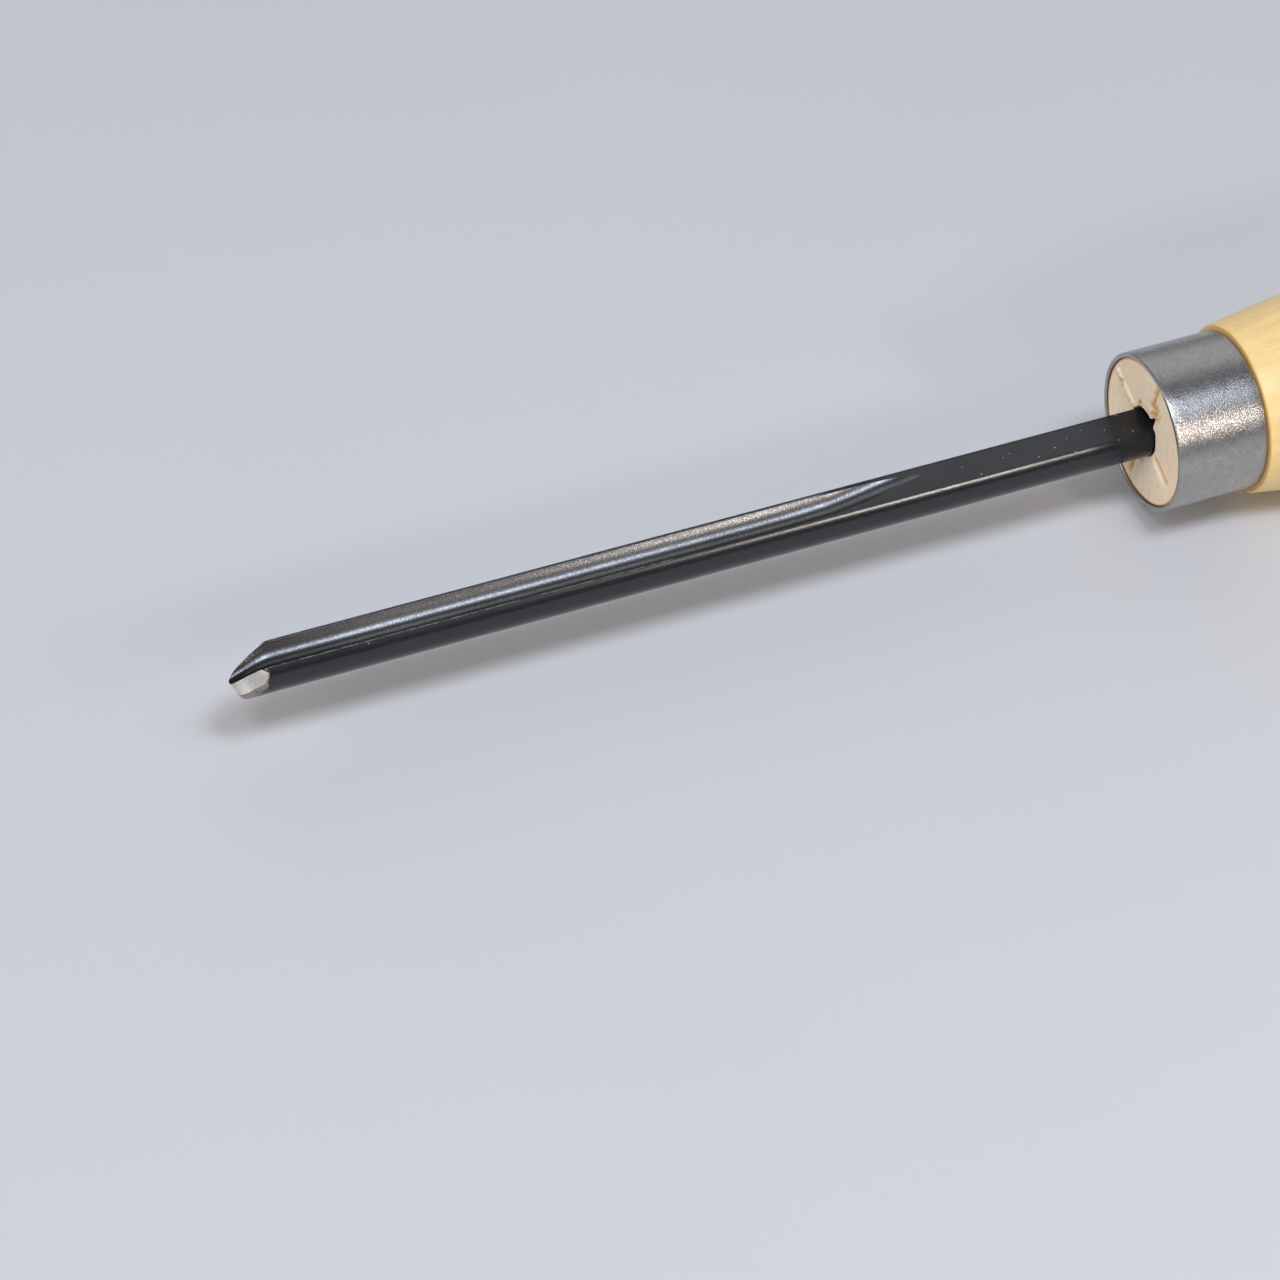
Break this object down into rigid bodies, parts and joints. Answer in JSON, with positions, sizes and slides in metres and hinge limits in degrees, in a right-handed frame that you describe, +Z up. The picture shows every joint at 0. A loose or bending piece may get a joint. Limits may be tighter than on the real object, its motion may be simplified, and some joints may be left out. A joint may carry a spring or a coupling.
{
  "type": "spindle gouge",
  "caption": "Small woodturning gouge: a fluted steel bar with a ground fingernail tip, in a turned wooden handle with a tube ferrule.",
  "frame": {"origin": "middle of the tool's length, on the surface that it lies on", "axes": "+X along the tool from its cutting tip to the handle's butt, +Z up, the way the flute faces"},
  "size_m": [0.32, 0.0258, 0.0258],
  "materials": {
    "blade_steel": "black oxide on the bar, satin in the flute, bright ground on the tip's bevel",
    "ferrule_steel": "satin, tumbled",
    "handle_wood": "clear gloss lacquer over pale hardwood, bare end grain inside the ferrule"
  },
  "bodies": {
    "root": {"gouge_blade": "blade_steel", "ferrule": "ferrule_steel", "handle": "handle_wood"}
  },
  "joints": []
}
